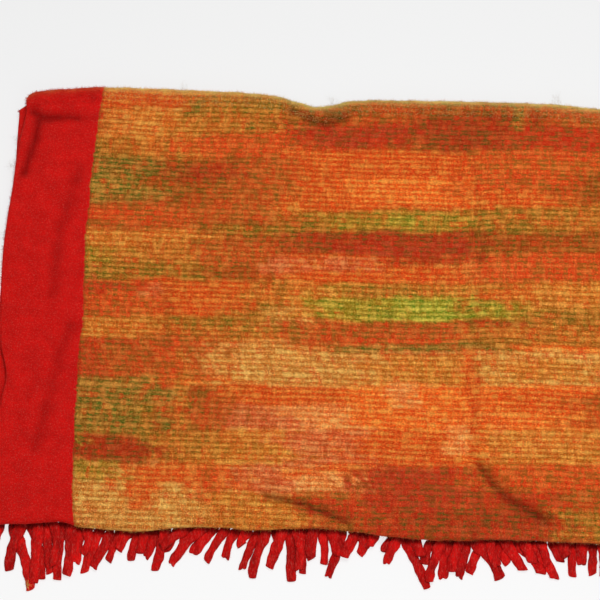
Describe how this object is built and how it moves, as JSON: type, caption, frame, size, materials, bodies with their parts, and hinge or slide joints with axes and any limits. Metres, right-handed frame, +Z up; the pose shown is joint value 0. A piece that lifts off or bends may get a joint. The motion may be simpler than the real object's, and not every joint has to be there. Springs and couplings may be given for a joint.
{
  "type": "folded wool blanket",
  "caption": "Rectangular woven wool blanket with plain red side borders, a space-dyed striped body and felted end fringes, folded into a flat rectangular pile.",
  "frame": {"origin": "centre of the footprint, on the underside of the bottom layer", "axes": "+X across the width of the cloth, along both folds, +Y from the fringe side to the back fold, +Z up out of the top layer"},
  "size_m": [1.1006, 0.5908, 0.0209],
  "materials": {
    "striped_wool": "brushed woven wool, matt and hairy, fine crosswise rows in rust, orange, straw and olive between red side borders",
    "red_felted_wool": "felted crimson wool, matt and hairy"
  },
  "bodies": {
    "root": {"blanket_cloth": "striped_wool", "fringe_lower": "red_felted_wool", "fringe_upper": "red_felted_wool"}
  },
  "joints": []
}
